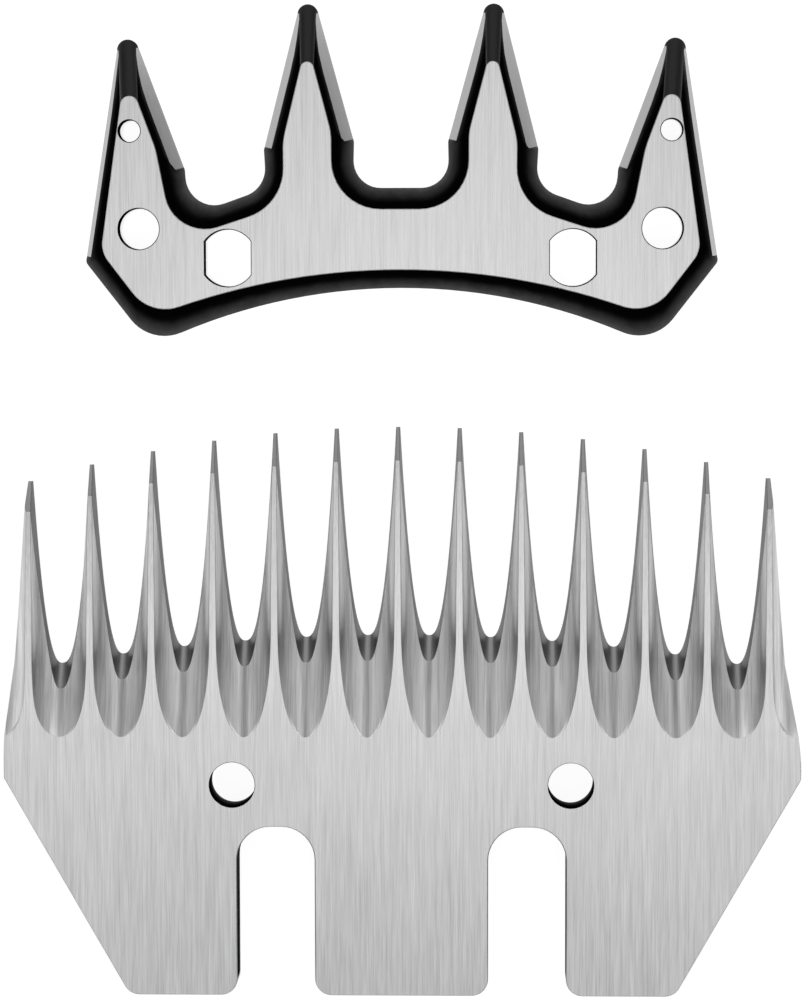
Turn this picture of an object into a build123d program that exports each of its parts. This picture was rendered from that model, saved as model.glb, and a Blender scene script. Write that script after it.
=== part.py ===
from build123d import *
import math
import os

# Blade set of a powered sheep-shearing handpiece: a thirteen-tooth comb and the four-tooth cutter that
# swings across it.  Both lie on their ground (cutting) faces on z = 0, shaped sides up, teeth towards +Y,
# the cutter laid out in front of the comb.  Millimetres.  The origin is under the middle of the pair.

SET_LENGTH = 94.6  # from the comb's rear edge to the tips of the cutter's middle teeth

# --- Comb: places along Y are measured forward from its rear edge ---
COMB_WIDTH = 76.2
COMB_LENGTH = 54.5
COMB_THICKNESS = 3.6
COMB_REAR_WIDTH = 52.3
SHOULDER_START = 21.0
SHOULDER_END = 22.3
SHOULDER_ROUND = (37.75, 26.9)  # half width and place forward that the rounded shoulder passes
SIDE_KNEE = (37.0, 32.0)  # where it runs into the straight outer side of the outermost tooth
TIP_HALF_WIDTH = 35.55
REAR_CORNER_RADIUS = 1.6

TOOTH_COUNT = 13
TOOTH_PITCH = 5.89
TOOTH_ROW_OFFSET = -0.32  # the row of teeth stands this far off the body's centre line
TIP_ARC_RADIUS = 126.0  # the tips lie on this arc
TIP_ARC_OFFSET = 0.5  # the arc's middle stands this far to the right of the middle tooth
TIP_BEVEL_LENGTH = 3.1
TIP_HEIGHT = 0.6
BEVEL_START_HEIGHT = 2.2
RIDGE_FALL_LENGTH = 25.0  # the ridges fall on an arc from full thickness over this length to the bevel

GULLET_ARC_RADIUS = 192.0  # the bottoms of the gaps lie on this arc
GULLET_FRONT = 34.45  # bottom of a gap on the centre line
GULLET_HALF_WIDTH = 2.76  # half the gap at GULLET_DEPTH from its bottom
GULLET_DEPTH = 20.3
GULLET_POWER = 0.40
GULLET_MOUTH = 23.5  # depth at which the tool for a gap ends, clear of the tips
GULLET_STATIONS = (0.15, 0.35, 0.6, 0.8, 1.0)  # roots of the depth shares its curve passes
GULLET_LEAN = 49.0  # degrees that the gap's end wall leans back from the vertical

FLUTE_END = 25.0  # straight line on which all flutes run out
FLUTE_RADIUS = 2.6
FLUTE_SLOPE = 15.0  # degrees
FLUTE_RAMP_LENGTH = 8.0
FLUTE_BEND_RADIUS = 33.0

SLOT_WIDTH = 7.45
SLOT_OFFSET = 12.03
SLOT_DEPTH = 16.35
SLOT_CORNER_RADIUS = 3.2
TANG_CORNER_RADIUS = 1.6
COMB_HOLE_DIAMETER = 4.34
COMB_HOLE_SPACING = 32.4
COMB_HOLE_FRONT = 20.4

# --- Cutter ---
CUTTER_THICKNESS = 4.0
CUTTER_EDGE_HEIGHT = 0.9  # upright edge of the ground face, under the drafted flanks
CUTTER_CORNERS = [
    # Right half of the outline before rounding, at the ground face and at the fork side, between which
    # the flanks lean in: x, y, corner radius, and again x, y, corner radius.
    (4.58, 29.98, 2.60, 6.42, 27.93, 4.60),  # bottom of the middle gap
    (4.48, 34.35, 0.50, 6.45, 35.10, 6.00),
    (8.85, 50.20, 0.99, 8.74, 43.70, 0.65),  # tip of the middle tooth
    (13.05, 33.62, 0.50, 11.05, 34.30, 6.00),
    (12.84, 29.97, 2.70, 11.00, 28.32, 4.80),  # bottom of the outer gap
    (20.32, 27.30, 2.78, 21.29, 24.93, 3.80),
    (20.63, 31.74, 0.50, 23.00, 33.60, 8.00),
    (26.36, 47.04, 1.02, 25.86, 41.23, 0.87),  # tip of the outer tooth
    (30.13, 22.95, 0.70, 28.27, 23.95, 2.60),  # side corner
    (23.90, 14.95, 4.10, 23.55, 17.78, 3.90),  # heel corner
]
HEEL_CENTRE_Y = (20.47, 22.22)  # middle of the hollow heel arc at the ground face and at the fork side
SMALL_HOLE = (25.50, 35.30, 2.05)  # x, y, diameter
MEDIUM_HOLE = (24.68, 26.10, 3.85)
FLAT_HOLE = (16.28, 23.35, 5.37)
FLAT_HOLE_WIDTH = 4.36

COMB_REAR_Y = -SET_LENGTH / 2
CUT_MARGIN = 1.0  # how far a cutting tool passes the faces it cuts


def comb_y(forward):
    """Place along Y of a point this far forward of the comb's rear edge."""
    return COMB_REAR_Y + forward


def arc_drop(radius, x):
    """How far an arc of this radius has fallen at a distance x from its top."""
    return radius - math.sqrt(radius**2 - x**2)


def rounded_face(edges, corners):
    """Face inside the closed edges, with the listed (point, radius) corners rounded."""
    face = make_face(edges)
    for point, radius in corners:
        corner = face.vertices().sort_by_distance(point)[0]
        face = fillet(corner, radius)
    return face


def upright(face, height, base=0.0):
    """Prism of a flat face standing from base."""
    return extrude(Pos(0, 0, base) * face, amount=height, dir=(0, 0, 1))


# ---------------------------------------------------------------- comb


def comb_blank():
    """Outline plate of the comb, without its slots, gaps or holes."""
    half = COMB_WIDTH / 2
    rear = COMB_REAR_WIDTH / 2
    tips = []
    edges = Line((-rear, COMB_REAR_Y), (rear, COMB_REAR_Y)).edges()
    for side in (1, -1):
        # The sides of the toothed part stand off centre with the teeth, and the shoulder makes up for it.
        body = [(rear, 0), (half, SHOULDER_START), (half, SHOULDER_END)]
        body_points = [(side * x, comb_y(forward)) for x, forward in body]
        edges += Polyline(*body_points).edges()
        crown = (side * SHOULDER_ROUND[0] + TOOTH_ROW_OFFSET / 2, comb_y(SHOULDER_ROUND[1]))
        knee = (side * SIDE_KNEE[0] + TOOTH_ROW_OFFSET, comb_y(SIDE_KNEE[1]))
        edges += ThreePointArc(body_points[-1], crown, knee).edges()
        drop = arc_drop(TIP_ARC_RADIUS, side * TIP_HALF_WIDTH - TIP_ARC_OFFSET)
        tips.append((side * TIP_HALF_WIDTH + TOOTH_ROW_OFFSET, comb_y(COMB_LENGTH - drop)))
        edges += Line(knee, tips[-1]).edges()
    crest = (TOOTH_ROW_OFFSET + TIP_ARC_OFFSET, comb_y(COMB_LENGTH))
    edges += ThreePointArc(tips[0], crest, tips[1]).edges()
    corners = [((side * rear, COMB_REAR_Y, 0), REAR_CORNER_RADIUS) for side in (1, -1)]
    return upright(rounded_face(edges, corners), COMB_THICKNESS)


def gullet_half_width(depth):
    """Half the width of a gap at this distance from its bottom."""
    return GULLET_HALF_WIDTH * (depth / GULLET_DEPTH) ** GULLET_POWER


def gullet_cut(x):
    """Tool for one gap at this place along X: its plan shape swept up along a line that leans back."""
    bottom = comb_y(GULLET_FRONT - arc_drop(GULLET_ARC_RADIUS, x - TOOTH_ROW_OFFSET))
    depths = [GULLET_MOUTH * station**2 for station in GULLET_STATIONS]
    right = [(x + gullet_half_width(depth), bottom + depth) for depth in depths]
    left = [(2 * x - point_x, y) for point_x, y in reversed(right)]
    curve = Spline(*left, (x, bottom), *right)
    face = make_face(curve.edges() + Line(right[-1], left[0]).edges())
    lean = math.tan(math.radians(GULLET_LEAN))
    way = Vector(0, -lean, 1)
    start = Pos(0, CUT_MARGIN * lean, -CUT_MARGIN) * face
    rise = COMB_THICKNESS + 2 * CUT_MARGIN
    return extrude(start, amount=rise * way.length, dir=way.normalized())


def flute_cut(x):
    """Tool for one flute: a round-bottomed channel that slopes down, then levels off towards the tips."""
    slope = math.radians(FLUTE_SLOPE)
    end_y = comb_y(FLUTE_END)
    start_y = end_y - 2 * CUT_MARGIN
    start_z = COMB_THICKNESS + 2 * CUT_MARGIN * math.tan(slope)
    bend_y = end_y + FLUTE_RAMP_LENGTH
    bend_z = COMB_THICKNESS - FLUTE_RAMP_LENGTH * math.tan(slope)
    level_y = bend_y + FLUTE_BEND_RADIUS * math.sin(slope)
    level_z = bend_z - FLUTE_BEND_RADIUS * (1 - math.cos(slope))
    middle_y = bend_y + FLUTE_BEND_RADIUS * (math.sin(slope) - math.sin(slope / 2))
    middle_z = level_z + FLUTE_BEND_RADIUS * (1 - math.cos(slope / 2))
    path = Wire(
        [
            Edge.make_line((x, start_y, start_z), (x, bend_y, bend_z)),
            Edge.make_three_point_arc((x, bend_y, bend_z), (x, middle_y, middle_z), (x, level_y, level_z)),
            Edge.make_line((x, level_y, level_z), (x, comb_y(COMB_LENGTH) + CUT_MARGIN, level_z)),
        ]
    )
    floor = Plane(origin=path @ 0, x_dir=(-1, 0, 0), z_dir=path % 0)
    height = COMB_THICKNESS * 2
    channel = Pos(0, FLUTE_RADIUS) * Circle(FLUTE_RADIUS)
    channel += Pos(0, FLUTE_RADIUS + height / 2) * Rectangle(2 * FLUTE_RADIUS, height)
    section = floor * channel
    return sweep(section, path=path)


def ridge_relief():
    """Tool above the teeth: the ridges fall gently forward, then bevel steeply to the tips."""
    tip = TIP_ARC_RADIUS
    bevel = tip - TIP_BEVEL_LENGTH
    start = bevel - RIDGE_FALL_LENGTH
    middle_height = COMB_THICKNESS - (COMB_THICKNESS - BEVEL_START_HEIGHT) / 4
    bevel_slope = (BEVEL_START_HEIGHT - TIP_HEIGHT) / TIP_BEVEL_LENGTH
    past = tip + CUT_MARGIN
    past_z = TIP_HEIGHT - bevel_slope * CUT_MARGIN
    ridge = ThreePointArc(
        (start, COMB_THICKNESS),
        ((start + bevel) / 2, middle_height),
        (bevel, BEVEL_START_HEIGHT),
    )
    top = COMB_THICKNESS + CUT_MARGIN
    rest = Polyline(
        (bevel, BEVEL_START_HEIGHT),
        (past, past_z),
        (past, top),
        (start, top),
        (start, COMB_THICKNESS),
    )
    section = Plane.XZ * make_face(ridge.edges() + rest.edges())
    ring = revolve(section, Axis.Z, 360)
    return Pos(TOOTH_ROW_OFFSET + TIP_ARC_OFFSET, comb_y(COMB_LENGTH - TIP_ARC_RADIUS), 0) * ring


def slot_cut(side):
    """Tool for one screw slot, open at the rear edge."""
    x = side * SLOT_OFFSET
    half = SLOT_WIDTH / 2
    top = comb_y(SLOT_DEPTH)
    low = COMB_REAR_Y - CUT_MARGIN
    outline = Polyline((x - half, low), (x - half, top), (x + half, top), (x + half, low), close=True)
    corners = [((x + way * half, top, 0), SLOT_CORNER_RADIUS) for way in (1, -1)]
    face = rounded_face(outline.edges(), corners)
    return upright(face, COMB_THICKNESS + 2 * CUT_MARGIN, -CUT_MARGIN)


def make_comb():
    # One flute outside each outermost tooth, and one in front of every gap between two teeth.
    flutes = [TOOTH_ROW_OFFSET + (i - TOOTH_COUNT / 2) * TOOTH_PITCH for i in range(TOOTH_COUNT + 1)]
    comb = comb_blank() - ridge_relief()
    for x in flutes:
        comb -= flute_cut(x)
    for x in flutes[1:-1]:
        comb -= gullet_cut(x)
    for side in (1, -1):
        comb -= slot_cut(side)
        hole = upright(Circle(COMB_HOLE_DIAMETER / 2), COMB_THICKNESS + 2 * CUT_MARGIN, -CUT_MARGIN)
        comb -= Pos(side * COMB_HOLE_SPACING / 2, comb_y(COMB_HOLE_FRONT), 0) * hole
    # The tangs' corners are where the slots meet the rear edge.
    mouths = [side * (SLOT_OFFSET + way * SLOT_WIDTH / 2) for side in (1, -1) for way in (1, -1)]
    upright_edges = comb.edges().filter_by(Axis.Z)
    tang_edges = [
        upright_edges.sort_by_distance((x, COMB_REAR_Y, COMB_THICKNESS / 2))[0] for x in mouths
    ]
    return fillet(tang_edges, TANG_CORNER_RADIUS)


# ---------------------------------------------------------------- cutter


def cutter_face(level):
    """Flat face inside the cutter's rounded outline at the ground face (0) or at the fork side (1)."""
    right = [corner[3 * level : 3 * level + 3] for corner in CUTTER_CORNERS]
    left = [(-x, y, radius) for x, y, radius in right]
    corners = list(reversed(right)) + left
    points = [(x, y) for x, y, _ in corners]
    sides = Polyline(*points).edges()
    heel = ThreePointArc(points[-1], (0, HEEL_CENTRE_Y[level]), points[0]).edges()
    rounding = [((x, y, 0), radius) for x, y, radius in corners]
    return rounded_face(sides + heel, rounding)


def drilled(side):
    """Tools for the three holes of one side that take a fork prong."""
    height = CUTTER_THICKNESS + 2 * CUT_MARGIN
    tools = []
    for x, y, diameter in (SMALL_HOLE, MEDIUM_HOLE):
        tools.append(Pos(side * x, y, 0) * upright(Circle(diameter / 2), height, -CUT_MARGIN))
    x, y, diameter = FLAT_HOLE
    flat_sided = Circle(diameter / 2) & Rectangle(FLAT_HOLE_WIDTH, diameter)
    tools.append(Pos(side * x, y, 0) * upright(flat_sided, height, -CUT_MARGIN))
    return tools


def make_cutter():
    """Upright ground edge, then drafted flanks that also slope the tooth tips."""
    low_face = cutter_face(0)
    edge = upright(low_face, CUTTER_EDGE_HEIGHT)
    sections = [Pos(0, 0, CUTTER_EDGE_HEIGHT) * low_face, Pos(0, 0, CUTTER_THICKNESS) * cutter_face(1)]
    flanks = loft(sections, ruled=True)
    cutter = edge + flanks
    for side in (1, -1):
        for tool in drilled(side):
            cutter -= tool
    return cutter


os.makedirs("parts", exist_ok=True)
for name, piece in (("comb", make_comb()), ("cutter", make_cutter())):
    solids = piece.solids()
    box = piece.bounding_box()
    print(name, len(solids), "solid", round(piece.volume, 1), "mm3", box.min, box.max)
    solid = solids[0]
    solid.label = name
    export_step(solid, f"parts/{name}.step")
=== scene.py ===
"""Sheep-shearing comb and cutter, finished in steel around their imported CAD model."""

import math
from collections import namedtuple

import bmesh
import bpy
from mathutils import Matrix, Vector


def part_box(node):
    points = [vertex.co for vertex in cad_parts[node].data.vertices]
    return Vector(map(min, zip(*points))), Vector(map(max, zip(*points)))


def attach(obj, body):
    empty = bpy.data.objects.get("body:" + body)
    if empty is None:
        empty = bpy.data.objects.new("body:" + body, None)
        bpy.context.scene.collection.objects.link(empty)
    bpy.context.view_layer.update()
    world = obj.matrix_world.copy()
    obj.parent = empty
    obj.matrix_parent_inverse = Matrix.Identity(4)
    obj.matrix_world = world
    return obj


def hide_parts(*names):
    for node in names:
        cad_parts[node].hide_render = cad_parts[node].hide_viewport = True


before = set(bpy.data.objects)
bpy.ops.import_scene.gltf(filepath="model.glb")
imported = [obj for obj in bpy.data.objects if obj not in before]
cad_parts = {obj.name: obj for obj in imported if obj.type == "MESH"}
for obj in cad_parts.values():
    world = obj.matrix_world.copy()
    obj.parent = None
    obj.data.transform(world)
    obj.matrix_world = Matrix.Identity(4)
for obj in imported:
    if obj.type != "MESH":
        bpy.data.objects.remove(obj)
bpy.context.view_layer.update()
COMB_LOW, COMB_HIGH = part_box("comb")
CUTTER_LOW, CUTTER_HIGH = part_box("cutter")

bl_info = {
    "name": "Shearing comb and cutter",
    "version": (1, 0, 0),
    "blender": (4, 5, 0),
    "location": "3D View > Sidebar > Shearing",
    "description": "Builds a sheep-shearing comb and cutter with their ground and coated finishes",
    "category": "Add Mesh",
}

MM = 0.001
SAME_PLACE = 1e-4 * MM  # points closer than this are one
CREASE = math.radians(32)  # edges sharper than this stay crisp
HALVINGS = 40  # steps of a search by halving

# Finishes, in the order of the material slots on both blades.
FACE, FLUTE, WALL, BEVEL, GROUND, COAT, SCALE, BORE = range(8)
ZONE = "finish_zone"
GAP_SHARE = "gap_share"
TIP_SHARE = "tip_share"


# ---------------------------------------------------------------- settings


def length(name, description, millimetres):
    """A length setting whose default is given in millimetres."""
    return bpy.props.FloatProperty(
        name=name, description=description, default=millimetres * MM, unit="LENGTH", precision=5
    )


def angle(name, description, degrees):
    """An angle setting whose default is given in degrees."""
    return bpy.props.FloatProperty(
        name=name, description=description, default=math.radians(degrees), unit="ROTATION", subtype="ANGLE"
    )


def tone(name, description, shade):
    """A colour setting whose default is a neutral or nearly neutral linear shade."""
    return bpy.props.FloatVectorProperty(
        name=name, description=description, default=shade, size=3, min=0.0, max=1.0, subtype="COLOR"
    )


def amount(name, description, default, high=10.0):
    """A plain number setting."""
    return bpy.props.FloatProperty(name=name, description=description, default=default, min=0.0, max=high)


class CombSizes(bpy.types.PropertyGroup):
    """Sizes of the comb that the CAD box doesn't give."""

    tooth_count: bpy.props.IntProperty(name="Teeth", description="Number of comb teeth", default=13, min=4)
    pitch: length("Pitch", "Distance from tooth to tooth", 5.89)
    row_offset: length("Row offset", "How far the row of teeth stands off the centre line", -0.32)
    flute_end: length("Flute end", "Line ahead of the rear edge on which the flutes run out", 25.0)
    gap_front: length("Gap bottom", "Bottom of a middle gap, ahead of the rear edge", 34.45)
    gap_arc: length("Gap arc", "Radius of the arc on which the gap bottoms lie", 192.0)
    tip_arc: length("Tip arc", "Radius of the arc on which the tooth tips lie", 126.0)
    tip_arc_offset: length("Tip arc offset", "How far right of the middle tooth that arc's middle is", 0.5)
    gap_half_width: length("Gap half width", "Half the gap at its reference depth", 2.76)
    gap_depth: length("Gap depth", "Reference depth of a gap from its bottom", 20.3)
    gap_power: amount("Gap curve", "Power by which a gap widens with its depth", 0.40)
    gap_lean: angle("Gap lean", "How far the gap's end wall leans back", 55.5)
    gap_land: length("Gap land", "Upright land left along the cutting edge", 0.1)
    flute_radius: length("Flute radius", "Radius of the flutes between the teeth", 2.6)
    flute_slope: angle("Flute slope", "How steeply a flute runs down from the body", 15.0)
    flute_ramp: length("Flute ramp", "Straight sloping part of a flute", 8.0)
    flute_bend: length("Flute bend", "Radius with which a flute levels off", 33.0)
    ridge_body: length("Ridge at body", "Half width of a tooth's ridge near the body", 0.345)
    ridge_tip: length("Ridge at tip", "Half width of a tooth's ridge where the tip bevel starts", 0.235)
    ridge_fall: length("Ridge fall", "Length over which a ridge falls towards its tip", 25.0)
    bevel_length: length("Tip bevel", "Length of the bevel at each tip", 3.1)
    bevel_height: length("Bevel start", "Height of a tooth where its tip bevel starts", 2.2)
    tip_height: length("Tip height", "Height of a tooth at its very tip", 0.6)
    side_half_width: length("Side half width", "Half width of the row at the outer tips", 35.55)
    edge_break: length("Edge break", "Small bevel that takes the sharpness off the body's edges", 0.09)
    pin_hole: length("Pin hole", "Diameter of the two holes", 4.34)
    pin_spacing: length("Pin spacing", "Distance between the two holes", 32.4)
    pin_front: length("Pin place", "The holes' place ahead of the rear edge", 20.4)
    slot_width: length("Slot width", "Width of a screw slot", 7.45)
    slot_offset: length("Slot offset", "A slot's distance from the centre line", 12.03)
    slot_depth: length("Slot depth", "Depth of a slot from the rear edge", 16.35)
    coat_depth: length("Coat depth", "How far the dark coat reaches down the holes' walls", 3.3)


class CutterSizes(bpy.types.PropertyGroup):
    """Sizes of the cutter that its outline doesn't give."""

    heel_ground: length("Heel at ground face", "Where the hollow heel crosses the centre line", 20.47)
    heel_fork: length("Heel at fork side", "The same at the fork side", 22.22)
    strip_right: length("Strip facing right", "Width of the ground strip along a tooth's right side", 1.0)
    strip_left: length("Strip facing left", "Width of the ground strip along a tooth's left side", 0.74)
    outer_strip: length("Outer strip", "Width of the strip along the outermost sides", 0.5)
    tip_strip: length("Strip at tip", "Width to which the strips narrow at the tips", 0.22)
    strip_rise: length("Strip rise", "How much higher a strip's inner edge is than its outer one", 1.1)
    ground_edge: length("Ground edge", "Height of the upright edge under a strip", 0.3)
    coat_edge: length("Coated edge", "Height of the upright edge under the black flanks", 0.45)
    tip_edge: length("Tip edge", "Height of the upright edge round a tip", 0.6)
    tip_round: length("Tip rounding", "Rounding above that edge", 0.15)
    flange_share: amount("Flange share", "Share of a flank's width under its flatter lower part", 0.42, 1.0)
    flange_height: length("Flange height", "Height at which the steep part of the flanks starts", 1.5)
    edge_break: length("Edge break", "Bright bevel round the fork-side face", 0.07)
    hole_break: length("Hole edge break", "Small bevel round the holes", 0.08)
    coat_depth: length("Coat depth", "How far the dark coat reaches down the holes' walls", 1.6)


class Finishes(bpy.types.PropertyGroup):
    """Colours and grain of the blades' finishes."""

    face: tone("Face", "Brushed steel of the flat faces", (0.60, 0.60, 0.605))
    flute: tone("Flutes", "Ground steel of the flutes", (0.800, 0.800, 0.805))
    wall: tone("Gap walls", "Darker milled steel of the gap walls", (0.210, 0.210, 0.213))
    bevel: tone("Tip bevels", "Steel of the comb's bevelled tips", (0.260, 0.260, 0.262))
    ground: tone("Ground strips", "Steel of the cutter's ground strips", (0.460, 0.460, 0.463))
    coat: tone("Black coat", "Black coating of the cutter's flanks and the holes", (0.0015, 0.0015, 0.0015))
    # Painted sheen: the grey low on the flanks stands in for the light their rounded lower edges catch.
    painted_coat_sheen: tone("Worn coat", "The same coating rubbed grey low on the flanks", (0.110, 0.110, 0.112))
    scale: tone("Black scale", "Black scale on the cutter's tooth tips", (0.006, 0.006, 0.006))
    bore: tone("Bores", "Bright reamed steel inside the holes", (0.82, 0.82, 0.82))
    brushing: amount("Brushing", "Strength of the brushed streaks", 1.0)


class StageSettings(bpy.types.PropertyGroup):
    """Camera, floor and lights."""

    camera_x: length("Camera across", "Camera's place along X", 8.52)
    camera_y: length("Camera forward", "Camera's place along Y", 24.155)
    camera_z: length("Camera height", "Camera's height over the floor", 310.0)
    aim_x: length("Aim across", "Point looked at, along X", 0.03)
    aim_y: length("Aim forward", "Point looked at, along Y", 0.3)
    aim_z: length("Aim height", "Point looked at, along Z", 1.8)
    roll: angle("Roll", "Clockwise turn of the camera", 0.1)
    lens: amount("Lens", "Focal length in millimetres on a 36 mm sensor", 116.67, 500.0)
    floor_size: length("Floor", "Side of the square floor", 3600.0)
    floor_glow: amount("Floor glow", "How much the pale floor is lit from below", 0.9)
    sky: amount("Room light", "Strength of the even light from the room", 0.28)


# ---------------------------------------------------------------- small geometry helpers


def lerp(a, b, share):
    """Value this share of the way from a to b."""
    return a + (b - a) * share


def clamp(value, low=0.0, high=1.0):
    """Value kept between low and high."""
    return max(low, min(high, value))


def arc_drop(radius, x):
    """How far an arc of this radius has fallen at a distance x from its top."""
    return radius - math.sqrt(radius * radius - x * x)


def circle_through(p, q, r):
    """Centre and radius of the circle through three points."""
    (ax, ay), (bx, by), (cx, cy) = p, q, r
    d = 2 * (ax * (by - cy) + bx * (cy - ay) + cx * (ay - by))
    a2, b2, c2 = ax * ax + ay * ay, bx * bx + by * by, cx * cx + cy * cy
    x = (a2 * (by - cy) + b2 * (cy - ay) + c2 * (ay - by)) / d
    y = (a2 * (cx - bx) + b2 * (ax - cx) + c2 * (bx - ax)) / d
    return Vector((x, y)), math.hypot(ax - x, ay - y)


def circle(x, y, radius, steps=48):
    """Points of a full circle, anticlockwise."""
    turns = (2 * math.pi * i / steps for i in range(steps))
    return [Vector((x + radius * math.cos(a), y + radius * math.sin(a))) for a in turns]


def arc_between(centre, start, end, steps):
    """Points from start to end the shorter way round the centre."""
    a = math.atan2(start.y - centre.y, start.x - centre.x)
    b = math.atan2(end.y - centre.y, end.x - centre.x)
    turn = (b - a + math.pi) % (2 * math.pi) - math.pi
    radius = (start - centre).length
    angles = [a + turn * i / steps for i in range(steps + 1)]
    return [centre + Vector((math.cos(t), math.sin(t))) * radius for t in angles]


def fillet(before, corner, after, radius, steps=8):
    """Arc that rounds a corner between two straight sides."""
    if radius <= 0:
        return [corner.copy()]
    into, out = (before - corner).normalized(), (after - corner).normalized()
    half = math.acos(clamp(into.dot(out), -1, 1)) / 2
    run = radius / math.tan(half)
    centre = corner + (into + out).normalized() * (radius / math.sin(half))
    return arc_between(centre, corner + into * run, corner + out * run, steps)


def rounded(corners, steps=8):
    """Closed outline through (x, y, radius) corners, each rounded by its own arc."""
    points = [Vector(c[:2]) for c in corners]
    outline = []
    for i, (_, _, radius) in enumerate(corners):
        outline += fillet(points[i - 1], points[i], points[(i + 1) % len(points)], radius, steps)
    return outline


def moved_in(loop, distances):
    """Closed anticlockwise loop with each point moved to its left by its own distance."""
    moved = []
    for i, point in enumerate(loop):
        before, after = loop[i - 1], loop[(i + 1) % len(loop)]
        side_in, side_out = (point - before).normalized(), (after - point).normalized()
        normal_in, normal_out = Vector((-side_in.y, side_in.x)), Vector((-side_out.y, side_out.x))
        bisector = (normal_in + normal_out).normalized()
        moved.append(point + bisector * (distances[i] / max(0.5, bisector.dot(normal_in))))
    return moved


# ---------------------------------------------------------------- mesh helpers


def new_object(name, data):
    """New object in the scene."""
    made = bpy.data.objects.new(name, data)
    bpy.context.scene.collection.objects.link(made)
    return made


class Shell:
    """Collects rings of vertices and the faces between them, each face with its finish zone."""

    def __init__(self):
        self.mesh = bmesh.new()
        self.zone = self.mesh.faces.layers.int.new(ZONE)

    def ring(self, points, heights):
        """New vertices over plan points, at one height or at a height each."""
        if not hasattr(heights, "__len__"):
            heights = [heights] * len(points)
        return [self.mesh.verts.new((p.x, p.y, z)) for p, z in zip(points, heights)]

    def face(self, verts, zone):
        """One face with its finish zone."""
        face = self.mesh.faces.new(verts)
        face[self.zone] = zone
        return face

    def band(self, lower, upper, zones):
        """Quads between two closed rings; their outside is to the right of the rings' way round."""
        count = len(lower)
        if not hasattr(zones, "__len__"):
            zones = [zones] * count
        for i in range(count):
            k = (i + 1) % count
            self.face([lower[i], lower[k], upper[k], upper[i]], zones[i])

    def fill(self, rings, zone, up):
        """Flat face inside the first ring with the others as holes in it."""
        edges = []
        for ring in rings:
            for i, vert in enumerate(ring):
                pair = (vert, ring[(i + 1) % len(ring)])
                edges.append(self.mesh.edges.get(pair) or self.mesh.edges.new(pair))
        normal = Vector((0, 0, 1 if up else -1))
        made = bmesh.ops.triangle_fill(self.mesh, edges=edges, normal=normal, use_beauty=True)
        for face in (g for g in made["geom"] if isinstance(g, bmesh.types.BMFace)):
            face[self.zone] = zone
            face.normal_update()
            if face.normal.dot(normal) < 0:
                face.normal_flip()

    def finish(self, name):
        """The collected mesh, with doubles merged."""
        bmesh.ops.remove_doubles(self.mesh, verts=self.mesh.verts, dist=SAME_PLACE)
        bmesh.ops.dissolve_degenerate(self.mesh, edges=self.mesh.edges, dist=SAME_PLACE)
        data = bpy.data.meshes.new(name)
        self.mesh.to_mesh(data)
        self.mesh.free()
        return data


def drill(shell, loop, top, break_width, coat_depth):
    """Wall of a hole, dark at its mouth and bright below; returns its top and bottom rings."""
    # The loop runs anticlockwise, so moving to its right widens the mouth of the hole.
    mouth = moved_in(loop, [-break_width] * len(loop))
    upper = shell.ring(mouth, top)
    shoulder = shell.ring(loop, top - break_width)
    waist = shell.ring(loop, top - break_width - coat_depth)
    lower = shell.ring(loop, 0.0)
    shell.band(upper, shoulder, COAT)
    shell.band(shoulder, waist, COAT)
    shell.band(waist, lower, BORE)
    return upper, lower


def finish_blade(data, name, body, node, materials):
    """Checks the blade's mesh, marks its crisp edges and hands it to the frame."""
    data.materials.clear()
    for material in materials:
        data.materials.append(material)
    mesh = bmesh.new()
    mesh.from_mesh(data)
    zone = mesh.faces.layers.int.get(ZONE)
    bmesh.ops.recalc_face_normals(mesh, faces=mesh.faces)
    open_edges = [e for e in mesh.edges if len(e.link_faces) != 2]
    if open_edges:
        place = [round(c / MM, 2) for c in open_edges[0].verts[0].co]
        raise RuntimeError(f"{name} has {len(open_edges)} open edges, the first near {place} mm")
    for edge in mesh.edges:
        first, second = edge.link_faces
        edge.smooth = first[zone] == second[zone] and edge.calc_face_angle(0) < CREASE
    for face in mesh.faces:
        face.smooth = True
        face.material_index = face[zone]
    mesh.to_mesh(data)
    mesh.free()
    blade = new_object(name, data)
    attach(blade, body)
    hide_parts(node)


# ---------------------------------------------------------------- comb: one tooth by rule


# Outline of the comb: half widths, places ahead of its rear edge and corner radii.
REAR_HALF_WIDTH = 26.15 * MM
REAR_CORNER = 1.6 * MM
SLOT_CORNER = 3.2 * MM
TANG_CORNER = 1.6 * MM
SHOULDER_REAR = 21.0 * MM
SHOULDER_CORNER = 0.4 * MM
SHOULDER_FRONT = 22.3 * MM
SHOULDER_ROUND = (37.75 * MM, 26.9 * MM)
SIDE_KNEE = (37.0 * MM, 32.0 * MM)

# Broken edges, as shares of the plate's own: along a ridge, where it also takes no more than a share of the
# flute's depth, and at a hole's mouth.
RIDGE_BREAK = 0.5
RIDGE_BREAK_LIMIT = 0.2
RIDGE_BREAK_STEEPNESS = 0.8
HOLE_BREAK = 0.6

NECK_LENGTH = 3.5 * MM  # over which a flute keeps its radius ahead of the gap's bottom
BEND_EASE = 0.35  # how much sooner than evenly the flutes start to bend to the gaps' arc


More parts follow.
